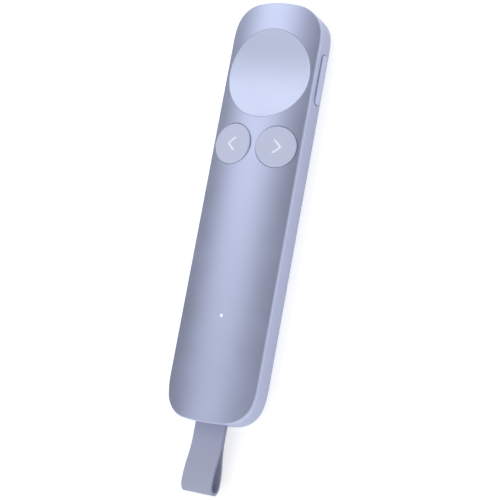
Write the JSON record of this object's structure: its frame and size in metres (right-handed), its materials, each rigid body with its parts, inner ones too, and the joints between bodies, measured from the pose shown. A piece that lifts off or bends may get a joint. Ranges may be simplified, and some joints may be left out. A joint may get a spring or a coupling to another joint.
{
  "type": "wireless presentation clicker",
  "caption": "Slim handheld presentation clicker with a crowned metal face, a thumb dish, back and next keys, a side key and a dongle on a pull strap.",
  "frame": {"origin": "on the resting plane, under the middle of the body's length and width, with the clicker on its back", "axes": "+X to the right across the front face, +Y along the body towards the pointer end, +Z out of the front face"},
  "size_m": [0.0288, 0.1451, 0.0119],
  "materials": {
    "fascia": "satin anodised lavender",
    "dish_metal": "satin anodised lavender, as the cover",
    "housing": "fine matt lavender",
    "keys": "satin lavender with a thin bright bevel",
    "side_key": "fine matt lavender",
    "liner": "moulded, dark grey",
    "circuit_board": "solder-masked laminate",
    "chips": "moulded epoxy",
    "ceramic": "glazed ceramic",
    "steel": "plated sheet steel",
    "switches": "moulded nylon",
    "led": "clear cap over a white diode",
    "light_pipe": "frosted clear plastic, lit white",
    "battery_foil": "foil pouch",
    "foam": "adhesive foam",
    "motor_can": "drawn steel can",
    "brass": "turned brass",
    "window": "dark red clear window",
    "connector_plastic": "moulded black",
    "receiver": "matt lavender",
    "strap": "matt moulded elastomer, lavender"
  },
  "bodies": {
    "housing": {"front_cover": "fascia", "rear_housing": "housing", "cover_liner": "liner", "head_liner": "liner", "main_board": "circuit_board", "processor_chip": "chips", "motion_sensor": "chips", "chip_antenna": "ceramic", "radio_shield": "steel", "board_screws": "steel", "charging_port": "steel", "pointer_switch": "switches", "back_switch": "switches", "next_switch": "switches", "side_switch": "switches", "status_led": "led", "light_pipe": "light_pipe", "battery": "battery_foil", "battery_pad": "foam", "haptic_motor": "motor_can", "laser_module": "brass", "laser_window": "window", "port_tongue": "connector_plastic"},
    "pointer_key": {"pointer_button": "dish_metal"},
    "back_key": {"back_button": "keys"},
    "next_key": {"next_button": "keys"},
    "side_key": {"side_button": "side_key"},
    "dongle": {"receiver_body": "receiver", "receiver_plug": "steel", "plug_insert": "connector_plastic", "pull_strap": "strap"}
  },
  "joints": [
    {"name": "pointer_press", "type": "slide", "parent": "housing", "child": "pointer_key", "axis": [0, 0, -1], "range_m": [0, 0.00035], "stiffness_N_per_m": 5500},
    {"name": "back_press", "type": "slide", "parent": "housing", "child": "back_key", "axis": [0.174, 0, -0.9847], "range_m": [0, 0.00035], "stiffness_N_per_m": 5500},
    {"name": "next_press", "type": "slide", "parent": "housing", "child": "next_key", "axis": [-0.174, 0, -0.9847], "range_m": [0, 0.00035], "stiffness_N_per_m": 5500},
    {"name": "side_press", "type": "slide", "parent": "housing", "child": "side_key", "axis": [-1, 0, 0], "range_m": [0, 0.00035], "stiffness_N_per_m": 5500},
    {"name": "dongle_pull", "type": "slide", "parent": "housing", "child": "dongle", "axis": [0, -1, 0], "range_m": [0, 0.016]}
  ]
}
